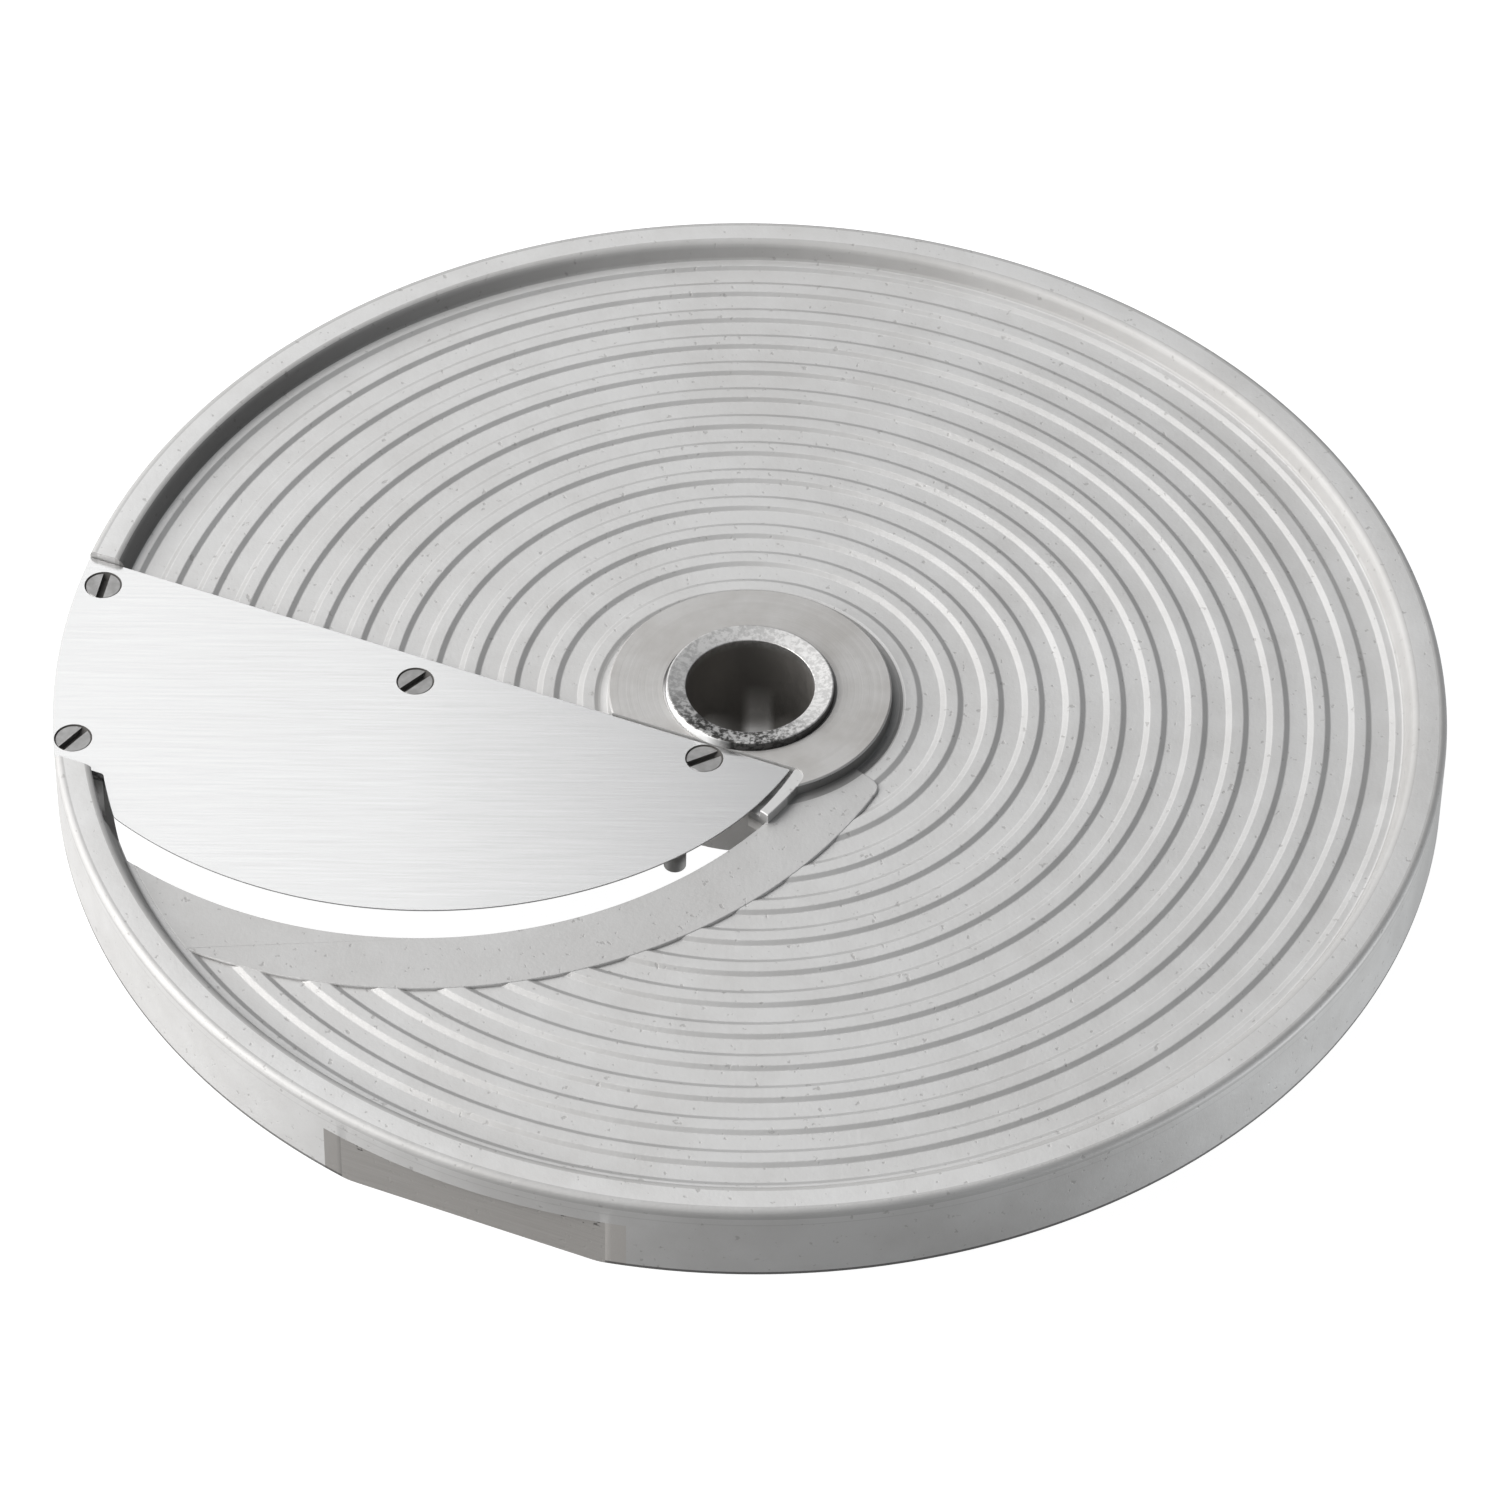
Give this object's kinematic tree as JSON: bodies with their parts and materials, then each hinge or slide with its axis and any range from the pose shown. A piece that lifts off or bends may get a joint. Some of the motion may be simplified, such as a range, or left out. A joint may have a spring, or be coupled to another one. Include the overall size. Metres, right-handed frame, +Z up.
{
  "type": "slicing disc",
  "caption": "Cast aluminium slicing disc with a ribbed face, a steel hub bush and a curved slicing blade held by countersunk screws.",
  "frame": {"origin": "on the bore axis, in the plane of the hub bush's lower end, which the disc stands on, 6.7 mm below the rim's lower edge", "axes": "+Z up along the bore axis, from the resting plane towards the ribbed face and the blade; the blade lies on the -X side, with its cutting edge towards -Y"},
  "size_m": [0.205, 0.205, 0.0202],
  "materials": {
    "disc_body": "matt washed casting, turned on the hub's top",
    "hub_bush": "turned, worn bright in the bore",
    "slicing_blade": "fine ground grain",
    "blade_screws": "plain stainless"
  },
  "bodies": {
    "root": {"disc_body": "disc_body", "hub_bush": "hub_bush", "slicing_blade": "slicing_blade", "blade_screws": "blade_screws"}
  },
  "joints": []
}
